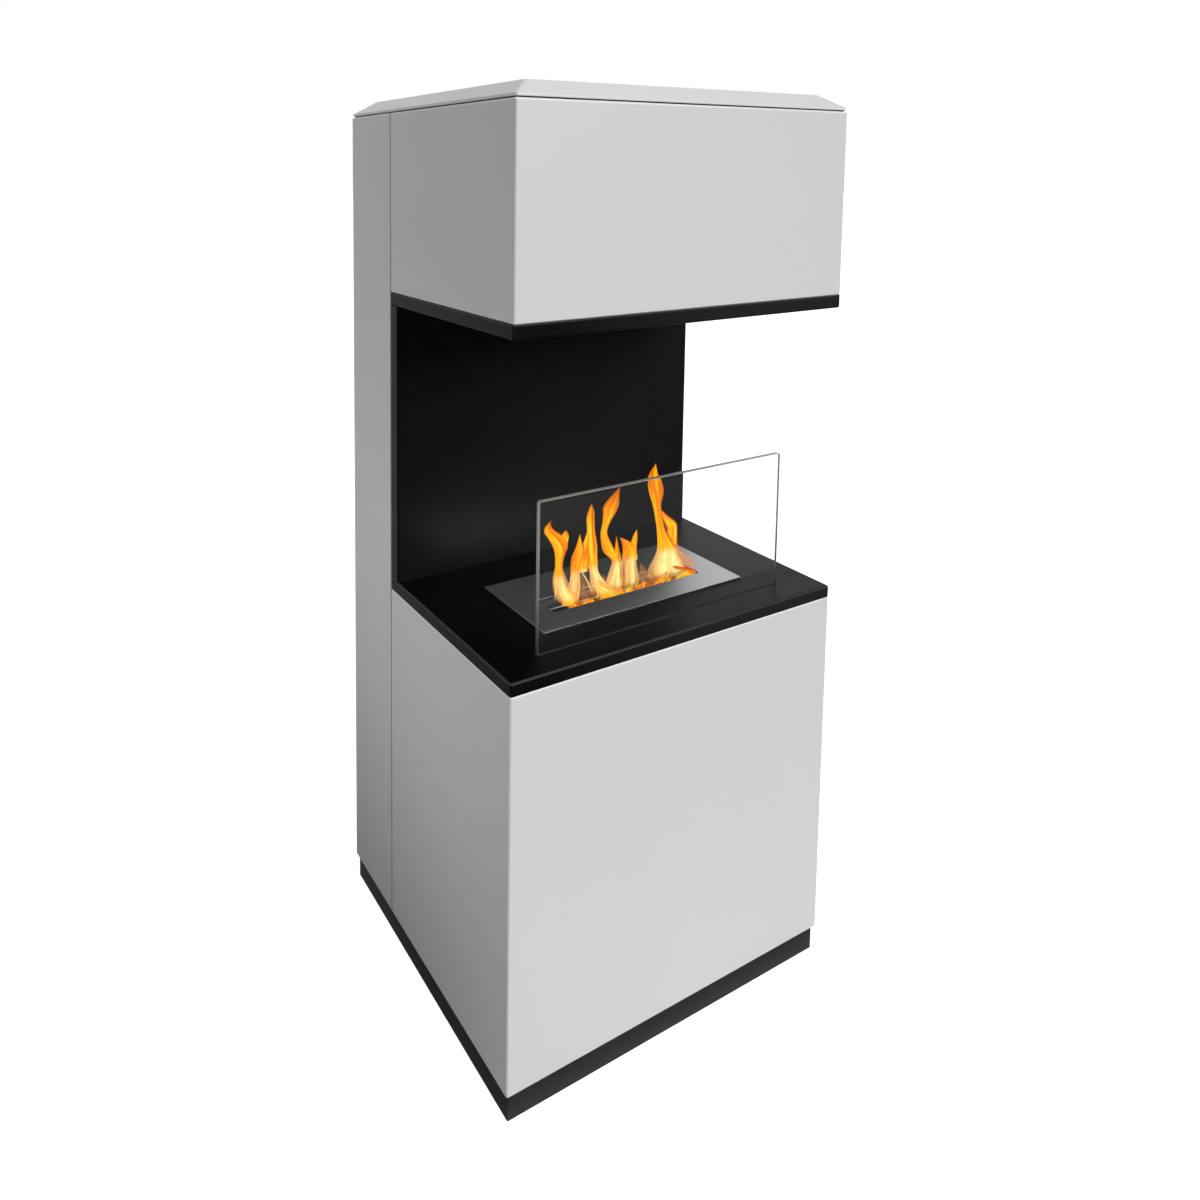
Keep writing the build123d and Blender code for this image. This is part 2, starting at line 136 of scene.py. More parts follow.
def ramp(tree, value, stops):
    """A colour read off a row of (place, colour) stops."""
    made = node(tree, "ShaderNodeValToRGB")
    elements = made.color_ramp.elements
    while len(elements) < len(stops):
        elements.new(1.0)
    for element, (place, colour) in zip(elements, stops):
        element.position = place
        element.color = (*colour, 1.0)
    link(tree, value, made.inputs["Fac"])
    return made.outputs["Color"]


def maths(tree, operation, first, second):
    """A Math node on two values, each a socket or a number."""
    made = node(tree, "ShaderNodeMath", operation=operation)
    for socket, value in zip(made.inputs, (first, second)):
        if isinstance(value, (int, float)):
            socket.default_value = value
        else:
            link(tree, value, socket)
    return made.outputs["Value"]


def seen_straight(tree, rays):
    """1 for what the camera sees, also straight through the glass, and 0 for reflections."""
    no_mirror = maths(tree, "LESS_THAN", rays.outputs["Glossy Depth"], 0.5)
    through = maths(tree, "MULTIPLY", rays.outputs["Is Transmission Ray"], no_mirror)
    return maths(tree, "MAXIMUM", rays.outputs["Is Camera Ray"], through)


def mirrored_only(tree, rays, straight):
    """1 for reflections, 0 for what is seen straight."""
    aside = maths(tree, "SUBTRACT", 1.0, straight)
    return maths(tree, "MULTIPLY", rays.outputs["Is Glossy Ray"], aside)


def facing(tree):
    """The surface's direction in the piece's own axes, split in X, Y and Z."""
    coords = node(tree, "ShaderNodeTexCoord")
    split = node(tree, "ShaderNodeSeparateXYZ")
    link(tree, coords.outputs["Normal"], split.inputs["Vector"])
    return split


def position(tree):
    """The place on the piece in metres, split in X, Y and Z."""
    split = node(tree, "ShaderNodeSeparateXYZ")
    link(tree, object_coords(tree), split.inputs["Vector"])
    return split


def level_edges(tree, upward):
    """1 along level rounded edges, which turn half upward, and 0 on upright and flat faces."""
    past_upright = remap(tree, upward, 0.0, 1.0, 0.20, 0.45)
    short_of_flat = remap(tree, upward, 1.0, 0.0, 0.90, 0.98)
    return maths(tree, "MINIMUM", past_upright, short_of_flat)


def bump(tree, shader, height, strength, distance):
    """Fine relief on the shader, from a height and its depth in metres."""
    made = node(tree, "ShaderNodeBump", Strength=strength, Distance=distance)
    link(tree, height, made.inputs["Height"])
    link(tree, made.outputs["Normal"], shader.inputs["Normal"])


# --------------------------------------------------------------------------
# Materials
# --------------------------------------------------------------------------

CAP_EDGE = 0.001  # the cap's painted light, as if from above, starts this far below it
PLINTH_BOUNCE_FROM, PLINTH_BOUNCE_FULL = 0.022, 0.001  # height of the painted floor-bounce light on the plinth
SHEEN_LEFT, SHEEN_RIGHT = -0.20, 0.10  # painted sheen on the black steel, from none on the left to full on the right
SHEEN_REAR, SHEEN_FRONT = -0.155, -0.175  # and strongest on the front edge
GLINT_FROM, GLINT_FULL = 0.0022, 0.0012  # painted highlight this far below the hood plate's top
PALE_EDGE_HEIGHT = 0.12  # above the shelf, where the painted shade on the pane's ground edges has faded to their palest
GLOSS_SPREAD = 0.06  # how far brushing moves a steel's roughness either way


def lacquer():
    """Light grey satin lacquer with faint cloudiness and fine orange peel; level edges carry a
    painted highlight and the cap is painted paler, as painted light from above.
    """
    material, tree, shader = new_material("white_lacquer")
    at = object_coords(tree)
    cloud = noise_at(tree, at, 4.0, 2.0)
    colour = two_colours(tree, cloud, (0.615, 0.617, 0.613), (0.65, 0.652, 0.648))
    height = position(tree).outputs["Z"]
    # painted light: the cap is painted paler as if lit from above, and level edges off the cap get
    # a painted highlight
    on_cap = remap(tree, height, 0.0, 1.0, CAP_BOTTOM - CAP_EDGE, CAP_BOTTOM)
    edges = level_edges(tree, maths(tree, "ABSOLUTE", facing(tree).outputs["Z"], 0.0))
    edges = maths(tree, "MULTIPLY", edges, maths(tree, "SUBTRACT", 1.0, on_cap))
    colour = two_colours(tree, on_cap, colour, (0.725, 0.727, 0.723))
    colour = two_colours(tree, edges, colour, (0.88, 0.88, 0.875))
    link(tree, colour, shader.inputs["Base Color"])
    smear = noise_at(tree, at, 11.0, 4.0, 0.6)
    link(tree, remap(tree, smear, 0.30, 0.42), shader.inputs["Roughness"])
    shader.inputs["Specular IOR Level"].default_value = 0.4
    bump(tree, shader, noise_at(tree, at, 700.0, 2.0), 0.10, 0.00008)
    return material


def raw_board():
    """Bare fibreboard: fine felted fibres in a warm brown."""
    material, tree, shader = new_material("raw_board")
    at = object_coords(tree)
    fibre = noise_at(tree, object_coords(tree, (1.0, 1.0, 1.6)), 260.0, 6.0, 0.7)
    colour = two_colours(tree, fibre, (0.30, 0.20, 0.115), (0.48, 0.35, 0.22))
    link(tree, colour, shader.inputs["Base Color"])
    link(tree, remap(tree, noise_at(tree, at, 30.0), 0.75, 0.92), shader.inputs["Roughness"])
    bump(tree, shader, fibre, 0.35, 0.0002)
    return material


def black_lacquer():
    """Black lacquered board of the plinth and the shadow line, painted paler grey near the floor
    as light bounced from it.
    """
    material, tree, shader = new_material("black_lacquer")
    at = object_coords(tree)
    cloud = noise_at(tree, at, 60.0, 4.0)
    colour = two_colours(tree, cloud, (0.017, 0.017, 0.0175), (0.028, 0.028, 0.0285))
    height = position(tree).outputs["Z"]
    # painted light: the plinth turns paler toward the floor, as if lit from it
    painted_bounce = remap(tree, height, 0.0, 1.0, PLINTH_BOUNCE_FROM, PLINTH_BOUNCE_FULL)
    colour = two_colours(tree, painted_bounce, colour, (0.042, 0.042, 0.0425))
    link(tree, colour, shader.inputs["Base Color"])
    link(tree, remap(tree, noise_at(tree, at, 14.0), 0.32, 0.48), shader.inputs["Roughness"])
    shader.inputs["Specular IOR Level"].default_value = 0.25
    bump(tree, shader, noise_at(tree, at, 800.0, 2.0), 0.12, 0.0001)
    return material


def powder_coat():
    """Black powder coat with a fine grain, a painted sheen over the right and front, and painted
    highlights along upward bends and the hood plate's top.
    """
    material, tree, shader = new_material("black_steel")
    at = object_coords(tree)
    grain = noise_at(tree, at, 1500.0, 3.0, 0.6)
    shade = remap(tree, grain, 0.0, 1.0, 0.35, 0.7)
    colour = two_colours(tree, shade, (0.0012, 0.0012, 0.0013), (0.0042, 0.0044, 0.0044))
    where = position(tree)
    # painted sheen: paler to the right and strongest on the front, as reflected light
    painted_sheen = two_colours(tree, shade, (0.0125, 0.0125, 0.0127), (0.0160, 0.0162, 0.0162))
    right = remap(tree, where.outputs["X"], 0.0, 1.0, SHEEN_LEFT, SHEEN_RIGHT)
    front = remap(tree, where.outputs["Y"], 0.35, 1.25, SHEEN_REAR, SHEEN_FRONT)
    colour = two_colours(tree, maths(tree, "MULTIPLY", right, front), colour, painted_sheen)
    # painted highlights along the upward bends and the top of the hood plate
    bends = level_edges(tree, facing(tree).outputs["Z"])
    below_top = maths(tree, "SUBTRACT", HOOD_PLATE_TOP, where.outputs["Z"])
    painted_glints = maths(tree, "MAXIMUM", bends, remap(tree, below_top, 0.0, 1.0, GLINT_FROM, GLINT_FULL))
    colour = two_colours(tree, painted_glints, colour, (0.040, 0.040, 0.041))
    link(tree, colour, shader.inputs["Base Color"])
    link(tree, remap(tree, noise_at(tree, at, 9.0, 4.0), 0.34, 0.46), shader.inputs["Roughness"])
    shader.inputs["Specular IOR Level"].default_value = 0.08
    bump(tree, shader, grain, 0.22, 0.0001)
    return material


def insulation():
    """Matt mineral board with pores."""
    material, tree, shader = new_material("insulation_board")
    at = object_coords(tree)
    pores = noise_at(tree, at, 400.0, 5.0, 0.7)
    colour = two_colours(tree, pores, (0.52, 0.49, 0.42), (0.72, 0.69, 0.62))
    link(tree, colour, shader.inputs["Base Color"])
    link(tree, remap(tree, pores, 0.85, 0.98), shader.inputs["Roughness"])
    bump(tree, shader, pores, 0.5, 0.0003)
    return material


def brushed(name, light, dark, rough, touches=()):
    """Steel brushed along X, with fine streaks in colour, gloss and relief.

    Each touch is an axis, the place where it starts, the place where it is full, its colour, and
    whether it is dull. At most one is dull.
    """
    material, tree, shader = new_material(name)
    fine = noise_at(tree, object_coords(tree, (5.0, 900.0, 900.0)), 1.0, 4.0, 0.65)
    broad = noise_at(tree, object_coords(tree, (3.0, 60.0, 60.0)), 1.0, 3.0)
    lines = maths(tree, "MULTIPLY", fine, 0.7)
    both = maths(tree, "ADD", lines, maths(tree, "MULTIPLY", broad, 0.3))
    colour = two_colours(tree, remap(tree, both, 0.0, 1.0, 0.3, 0.7), dark, light)
    where = position(tree)
    shader.inputs["Metallic"].default_value = 1.0
    for axis, start, full, touch, dull in touches:
        share = remap(tree, where.outputs[axis], 0.0, 1.0, start, full)
        colour = two_colours(tree, share, colour, touch)
        if dull:
            link(tree, maths(tree, "SUBTRACT", 1.0, share), shader.inputs["Metallic"])
    link(tree, colour, shader.inputs["Base Color"])
    gloss = remap(tree, both, rough - GLOSS_SPREAD, rough + GLOSS_SPREAD, 0.3, 0.7)
    link(tree, gloss, shader.inputs["Roughness"])
    bump(tree, shader, fine, 0.12, 0.00005)
    return material


def zinc():
    """Zinc plate with its faint spangle."""
    material, tree, shader = new_material("zinc_steel")
    cells = node(tree, "ShaderNodeTexVoronoi", Scale=420.0)
    link(tree, object_coords(tree), cells.inputs["Vector"])
    shade = remap(tree, cells.outputs["Distance"], 0.0, 1.0, 0.0, 0.8)
    colour = two_colours(tree, shade, (0.50, 0.51, 0.53), (0.68, 0.69, 0.71))
    link(tree, colour, shader.inputs["Base Color"])
    link(tree, remap(tree, shade, 0.28, 0.45), shader.inputs["Roughness"])
    shader.inputs["Metallic"].default_value = 1.0
    return material


def heat_paint():
    """Black heat-proof paint on the well and the channel."""
    material, tree, shader = new_material("coated_well")
    at = object_coords(tree)
    colour = two_colours(tree, noise_at(tree, at, 120.0, 5.0), grey(0.012), (0.030, 0.029, 0.028))
    link(tree, colour, shader.inputs["Base Color"])
    link(tree, remap(tree, noise_at(tree, at, 25.0), 0.55, 0.72), shader.inputs["Roughness"])
    bump(tree, shader, noise_at(tree, at, 900.0), 0.2, 0.0001)
    return material


def seal_strip():
    """Matt woven heat-proof strip."""
    material, tree, shader = new_material("black_seal")
    weave = node(tree, "ShaderNodeTexWave", Scale=300.0, Distortion=0.4)
    weave.bands_direction = "DIAGONAL"
    link(tree, object_coords(tree), weave.inputs["Vector"])
    colour = two_colours(tree, weave.outputs["Fac"], grey(0.012), (0.035, 0.035, 0.034))
    link(tree, colour, shader.inputs["Base Color"])
    shader.inputs["Roughness"].default_value = 0.9
    bump(tree, shader, weave.outputs["Fac"], 0.4, 0.0002)
    return material


def ceramic_wool():
    """White ceramic fibre, scorched a little in patches."""
    material, tree, shader = new_material("ceramic_wool")
    at = object_coords(tree)
    strands = noise_at(tree, object_coords(tree, (1.0, 3.0, 3.0)), 300.0, 6.0, 0.75)
    scorch = remap(tree, noise_at(tree, at, 28.0, 3.0), 0.0, 1.0, 0.45, 0.75)
    white = two_colours(tree, strands, (0.60, 0.58, 0.54), (0.85, 0.84, 0.80))
    colour = two_colours(tree, scorch, white, (0.33, 0.27, 0.20))
    link(tree, colour, shader.inputs["Base Color"])
    link(tree, remap(tree, strands, 0.85, 1.0), shader.inputs["Roughness"])
    bump(tree, shader, strands, 0.8, 0.0006)
    return material


def clear_glass():
    """Clear toughened glass with ground, greyish edges, painted darker near the shelf as painted
    shade.
    """
    material, tree, shader = new_material("clear_glass")
    faces_front = maths(tree, "ABSOLUTE", facing(tree).outputs["Y"], 0.0)
    edge = maths(tree, "LESS_THAN", faces_front, 0.9)
    grind = remap(tree, noise_at(tree, object_coords(tree), 600.0, 3.0), 0.18, 0.34)
    link(tree, maths(tree, "MULTIPLY", edge, grind), shader.inputs["Roughness"])
    height = position(tree).outputs["Z"]
    # painted shade: the ground edges are darkest near the shelf and paler higher up
    raised = remap(tree, height, 0.0, 1.0, SHELF_TOP, SHELF_TOP + PALE_EDGE_HEIGHT)
    ground = two_colours(tree, raised, (0.13, 0.15, 0.145), (0.50, 0.54, 0.53))
    colour = two_colours(tree, edge, (0.985, 0.993, 0.990), ground)
    link(tree, colour, shader.inputs["Base Color"])
    link(tree, remap(tree, edge, 1.0, 0.40), shader.inputs["Transmission Weight"])
    shader.inputs["IOR"].default_value = 1.45
    rays = node(tree, "ShaderNodeLightPath")
    through = node(tree, "ShaderNodeBsdfTransparent", Color=(0.93, 0.95, 0.945, 1.0))
    mix = node(tree, "ShaderNodeMixShader")
    link(tree, rays.outputs["Is Shadow Ray"], mix.inputs["Fac"])
    link(tree, shader.outputs["BSDF"], mix.inputs[1])
    link(tree, through.outputs["BSDF"], mix.inputs[2])
    link(tree, mix.outputs["Shader"], tree.nodes["Material Output"].inputs["Surface"])
    return material


# deep red to yellow, seen against the dark
FIRE_COLOURS = [
    (0.00, (0.20, 0.022, 0.001)),
    (0.20, (0.42, 0.070, 0.001)),
    (0.40, (0.62, 0.140, 0.001)),
    (0.60, (0.68, 0.260, 0.002)),
    (0.80, (0.70, 0.400, 0.005)),
    (1.00, (0.70, 0.520, 0.030)),
]
# peach to cream, low over the bright plate
PALE_COLOURS = [
    (0.00, (0.52, 0.20, 0.05)),
    (0.35, (0.78, 0.40, 0.12)),
    (0.70, (0.85, 0.56, 0.18)),
    (1.00, (0.92, 0.74, 0.30)),
]
PALE_FROM, PALE_FULL = 0.004, 0.010  # metres above the shelf
PALE_END, PALE_GONE = 0.034, 0.042
STREAK_SCALE = (3.0, 1.3, 1.0)  # streaks across a tongue, and along it
RIM_FROM = 0.70  # where the rim starts, as a share of the half width
WARMER_LEFT = 0.14
COOLER_TIP = 0.28
COOLER_RIM = 0.26
FLAME_STRENGTH = 1.7
FADE_IN = 0.012  # the foot fades in over this height
FADE_OUT = 0.86  # the tip fades from this share of the length


def flame(name, warmth, low_alpha, high_alpha, paleness=0.9, foot=0.05, swing=0.5):
    """A see-through tongue of fire: cream low down, orange above, streaked, darker at rim and tip.

    warmth moves it all from red to yellow, the alphas hold low over the plate and further up,
    paleness is how creamy it is low down, foot how much shows at the slot, and swing is the
    contrast of the streaks. In its UV map the whole part of x numbers the tongue, the rest runs
    from its left edge to its right, and y is the share of its length. It doesn't show in
    reflections.
    """
    material, tree, shader = new_material(name)
    place = node(tree, "ShaderNodeUVMap", uv_map="flame")
    split = node(tree, "ShaderNodeSeparateXYZ")
    link(tree, place.outputs["UV"], split.inputs["Vector"])
    across = remap(tree, maths(tree, "FRACT", split.outputs["X"], 0.0), -1.0, 1.0)
    length = split.outputs["Y"]
    stretch = node(tree, "ShaderNodeMapping")
    stretch.inputs["Scale"].default_value = STREAK_SCALE
    link(tree, place.outputs["UV"], stretch.inputs["Vector"])

    streaks = noise_at(tree, stretch.outputs["Vector"], 1.0, 3.0, 0.55)
    streaks = remap(tree, streaks, -swing, swing, 0.3, 0.7)
    rim = remap(tree, maths(tree, "ABSOLUTE", across, 0.0), 0.0, 1.0, RIM_FROM, 1.0)
    left = maths(tree, "MULTIPLY", across, -WARMER_LEFT)
    tip = maths(tree, "MULTIPLY", maths(tree, "POWER", length, 3.0), -COOLER_TIP)
    heat = maths(tree, "ADD", maths(tree, "ADD", streaks, left), maths(tree, "ADD", tip, warmth))
    heat = maths(tree, "ADD", heat, maths(tree, "MULTIPLY", rim, -COOLER_RIM))

    height = maths(tree, "SUBTRACT", position(tree).outputs["Z"], SHELF_TOP)
    low_down = remap(tree, height, 0.0, 1.0, PALE_GONE, PALE_END)
    over_slot = remap(tree, height, 0.0, paleness, PALE_FROM, PALE_FULL)
    pale = maths(tree, "MULTIPLY", low_down, over_slot)
    pale_heat = remap(tree, heat, 0.0, 1.0, 0.30, 0.88)
    orange, cream = ramp(tree, heat, FIRE_COLOURS), ramp(tree, pale_heat, PALE_COLOURS)
    link(tree, two_colours(tree, pale, orange, cream), shader.inputs["Emission Color"])
    shader.inputs["Emission Strength"].default_value = FLAME_STRENGTH
    shader.inputs["Base Color"].default_value = (0.0, 0.0, 0.0, 1.0)
    shader.inputs["Specular IOR Level"].default_value = 0.0
    shader.inputs["Roughness"].default_value = 1.0

    thin = maths(tree, "MULTIPLY", remap(tree, pale_heat, 0.45, 0.0, 0.0, 0.5), pale)
    body = remap(tree, low_down, high_alpha, low_alpha)
    body = maths(tree, "MULTIPLY", body, maths(tree, "SUBTRACT", 1.0, thin))
    foot_fade = remap(tree, height, foot, 1.0, 0.0, FADE_IN)
    tip_fade = remap(tree, length, 1.0, 0.15, FADE_OUT, 1.0)
    ends = maths(tree, "MULTIPLY", foot_fade, tip_fade)
    fade = maths(tree, "MULTIPLY", remap(tree, rim, 1.0, 0.40), ends)
    rays = node(tree, "ShaderNodeLightPath")
    unmirrored = maths(tree, "LESS_THAN", rays.outputs["Glossy Depth"], 0.5)
    alpha = maths(tree, "MULTIPLY", maths(tree, "MULTIPLY", body, fade), unmirrored)
    link(tree, alpha, shader.inputs["Alpha"])
    return material


# --------------------------------------------------------------------------
# Mesh helpers
# --------------------------------------------------------------------------


def add_piece(name, mesh, material, body):
    """A new piece of the object that moves with a body."""
    piece = bpy.data.objects.new(name, mesh)
    bpy.context.scene.collection.objects.link(piece)
    piece.data.materials.append(material)
    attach(piece, body)
    return piece


def finished_mesh(bm, name):
    """The mesh of a bmesh, smooth shaded."""
    mesh = bpy.data.meshes.new(name)
    bm.to_mesh(mesh)
    bm.free()
    mesh.polygons.foreach_set("use_smooth", [True] * len(mesh.polygons))
    return mesh


def bridge(bm, below, above):
    """Faces between two closed rings of the same length."""
    count = len(below)
    for k in range(count):
        bm.faces.new([below[k], below[(k + 1) % count], above[(k + 1) % count], above[k]])


def smoothstep(value):
    """The value held to 0 to 1, eased in and out."""
    held = max(0.0, min(1.0, value))
    return held * held * (3.0 - 2.0 * held)


def between(points, share):
    """A point on a smooth curve through the rows of numbers, share 0 to 1."""
    place = share * (len(points) - 1)
    i = min(int(place), len(points) - 2)
    t = place - i
    rows = [points[max(0, min(len(points) - 1, k))] for k in (i - 1, i, i + 1, i + 2)]
    values = []
    for p0, p1, p2, p3 in zip(*rows):
        a = 2.0 * p1
        b = p2 - p0
        c = 2.0 * p0 - 5.0 * p1 + 4.0 * p2 - p3
        d = -p0 + 3.0 * p1 - 3.0 * p2 + p3
        values.append(0.5 * (a + b * t + c * t * t + d * t * t * t))
    return values


# --------------------------------------------------------------------------
# CAD nodes take their materials
# --------------------------------------------------------------------------

SLIDER_GLINT = 0.0018  # width of the painted highlight along the slider's front edge
FRONT_DARK_REACH = 0.018  # how far back from its front the slider is darker
SHEET = 0.0012  # the slider's thickness
CUT_FROM, CUT_FULL = 0.0003, 0.0005  # the plate's cut edges, below its top
SLOT_SHADE = grey(0.002)

# the plate's cut edges are dark cut steel, darker still as painted shade under the slot's rim; the
# slider's lip is near black as painted shade in the slot, and its front edge carries a painted
# highlight
plate_touches = [("Z", PLATE_TOP - CUT_FROM, PLATE_TOP - CUT_FULL, grey(0.015), False)]
slider_touches = [
    ("Y", SLIDER_FRONT + FRONT_DARK_REACH, SLIDER_FRONT + FRONT_DARK_REACH / 3, (0.20, 0.20, 0.195), False),
    ("Y", SLIDER_FRONT + SLIDER_GLINT, SLIDER_FRONT + SLIDER_GLINT / 2, (0.40, 0.40, 0.395), True),
    # painted shade: the slider's lip below its sheet is near black
    ("Z", SLIDER_TOP - SHEET / 2, SLIDER_TOP - SHEET, SLOT_SHADE, False),
]
finishes = {
    "white_lacquer": lacquer(),
    "raw_board": raw_board(),
    "black_lacquer": black_lacquer(),
    "black_steel": powder_coat(),
    "insulation_board": insulation(),
    "zinc_steel": zinc(),
    "coated_well": heat_paint(),
    "black_seal": seal_strip(),
    "brushed_stainless": brushed(
        "brushed_stainless", (0.63, 0.63, 0.625), (0.48, 0.48, 0.475), 0.40, plate_touches
    ),
    # the tank's steel is near black, a painted shade for the inside of the burner
    "stainless": brushed("stainless", (0.06, 0.055, 0.05), (0.02, 0.018, 0.016), 0.5),
    "slider_steel": brushed(
        "slider_steel", (0.60, 0.60, 0.59), (0.46, 0.46, 0.45), 0.42, slider_touches
    ),
    "ceramic_wool": ceramic_wool(),
    "clear_glass": clear_glass(),
}
for part in frame["record"]["subparts"]:
    shown = frame["nodes"][part["node"]]
    for place in shown.material_slots:
        place.material = finishes[part["material_slot"]]

# --------------------------------------------------------------------------
# Ceramic wool in the tank
# --------------------------------------------------------------------------

WOOL_CORNER = 0.0045  # radius of the upright corners
WOOL_SOFT_EDGE = 0.003  # radius of the top edge
WOOL_UNEVEN = 0.0012  # how deep the top's hollows are
WOOL_LUMPS = 90  # hollows per metre
CORNER_STEPS = 6
EDGE_STEPS = 4
TOP_STEPS = 12


def rounded_ring(bm, centre, half_x, half_y, radius, z):
    """A closed ring of vertices round a rectangle with round corners."""
    ring = []
    for turn, (sx, sy) in enumerate(((1, 1), (-1, 1), (-1, -1), (1, -1))):
        for step in range(CORNER_STEPS + 1):
            angle = math.radians(90 * turn + 90 * step / CORNER_STEPS)
            x = centre[0] + sx * (half_x - radius) + radius * math.cos(angle)
            y = centre[1] + sy * (half_y - radius) + radius * math.sin(angle)
            ring.append(bm.verts.new((x, y, z)))
    return ring


def wool_pad():
    """The pad of ceramic wool: soft top edges and a slightly uneven top under the screen."""
    low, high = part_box("ceramic_fibre")
    centre = [(a + b) / 2 for a, b in zip(low, high)]
    half_x, half_y = (high[0] - low[0]) / 2, (high[1] - low[1]) / 2
    bm = bmesh.new()
    rings = [rounded_ring(bm, centre, half_x, half_y, WOOL_CORNER, low[2])]
    for step in range(EDGE_STEPS + 1):
        angle = math.radians(90 * step / EDGE_STEPS)
        inset = WOOL_SOFT_EDGE * (1 - math.cos(angle))
        z = high[2] - WOOL_SOFT_EDGE * (1 - math.sin(angle))
        rings.append(rounded_ring(bm, centre, half_x - inset, half_y - inset, WOOL_CORNER, z))
    for step in range(1, TOP_STEPS):
        share = 1 - step / TOP_STEPS
        x, y = (half_x - WOOL_SOFT_EDGE) * share, (half_y - WOOL_SOFT_EDGE) * share
        ring = rounded_ring(bm, centre, x, y, WOOL_CORNER * share, high[2])
        for vertex in ring:
            vertex.co.z -= WOOL_UNEVEN * (0.5 + 0.5 * noise.noise(vertex.co * WOOL_LUMPS))
        rings.append(ring)
    for below, above in zip(rings, rings[1:]):
        bridge(bm, below, above)
    bm.faces.new(list(reversed(rings[0])))
    bm.faces.new(rings[-1])
    return bm


wool_mesh = finished_mesh(wool_pad(), "wool_pad")
wool = add_piece("wool_pad", wool_mesh, finishes["ceramic_wool"], "burner")
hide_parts("ceramic_fibre")

# --------------------------------------------------------------------------
# Screws of the back board
# --------------------------------------------------------------------------

SCREW_RADIUS = 0.0034
SCREW_RISE = 0.0006
DOME_POWER = 2.5  # how flat the head is in its middle
CROSS_ARM = 0.0019  # half length of the cross recess
CROSS_WIDTH = 0.0005  # half width
CROSS_DEPTH = 0.0005
SCREW_RINGS = 14
SCREW_SIDES = 48
SCREW_ROWS = 6
SCREW_EDGE = 0.004  # from the board's edge
SCREW_END = 0.045  # from its ends


def screw_head(bm, centre):
    """A low domed head with a cross recess, facing +Y."""
    rows = []
    for i in range(1, SCREW_RINGS + 1):
        radius = SCREW_RADIUS * i / SCREW_RINGS
        row = []
        for k in range(SCREW_SIDES):
            turn = 2 * math.pi * k / SCREW_SIDES
            x, z = radius * math.cos(turn), radius * math.sin(turn)
            rise = SCREW_RISE * (1 - (radius / SCREW_RADIUS) ** DOME_POWER)
            in_cross = min(abs(x), abs(z)) < CROSS_WIDTH and max(abs(x), abs(z)) < CROSS_ARM
            depth = CROSS_DEPTH if in_cross else 0.0
            row.append(bm.verts.new((centre[0] + x, centre[1] + rise - depth, centre[2] + z)))
        rows.append(row)
    middle = bm.verts.new((centre[0], centre[1] + SCREW_RISE - CROSS_DEPTH, centre[2]))
    for k in range(SCREW_SIDES):
        bm.faces.new([middle, rows[0][(k + 1) % SCREW_SIDES], rows[0][k]])
    for inner, outer in zip(rows, rows[1:]):
        bridge(bm, list(reversed(outer)), list(reversed(inner)))


def back_screws():
    """Two upright rows of screws that hold the back board in its rebates."""
    low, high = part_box("column_back")
    bm = bmesh.new()
    for x in (low[0] + SCREW_EDGE, high[0] - SCREW_EDGE):
        for row in range(SCREW_ROWS):
            share = row / (SCREW_ROWS - 1)
            z = low[2] + SCREW_END + share * (high[2] - low[2] - 2 * SCREW_END)
            screw_head(bm, (x, high[1], z))
    return bm


screw_mesh = finished_mesh(back_screws(), "back_screws")
screws = add_piece("back_screws", screw_mesh, finishes["zinc_steel"], "cabinet")

# --------------------------------------------------------------------------
# Flames
# --------------------------------------------------------------------------

FIRE_Y = -0.0875  # over the open strip in front of the slider
FRONT_Y = -0.0950  # near the slot's front edge
FLAME_FOOT = SHELF_TOP - 0.0014  # just over the slider
FLAME_LEAN = 0.008  # how far the flames drift back
FLAME_LEAN_HEIGHT = 0.060
DEEPEST = 0.0048  # largest half depth of a tongue
SHALLOW = 0.0018  # the same for the low fire at the front edge
THINNEST = 0.0002  # smallest half width, at the tips
TONGUE_ASIDE = 0.0010  # neighbouring tongues stand apart in depth by this
LICK_RADIUS = 0.0010
LICK_ENDS = 0.12  # share of a half wave left off at each end of a lick
RINGS = 40  # along a tongue
SIDES = 24  # round it
EDGE_SHARE = 0.498  # just under a half, so that no corner counts as the next tongue's

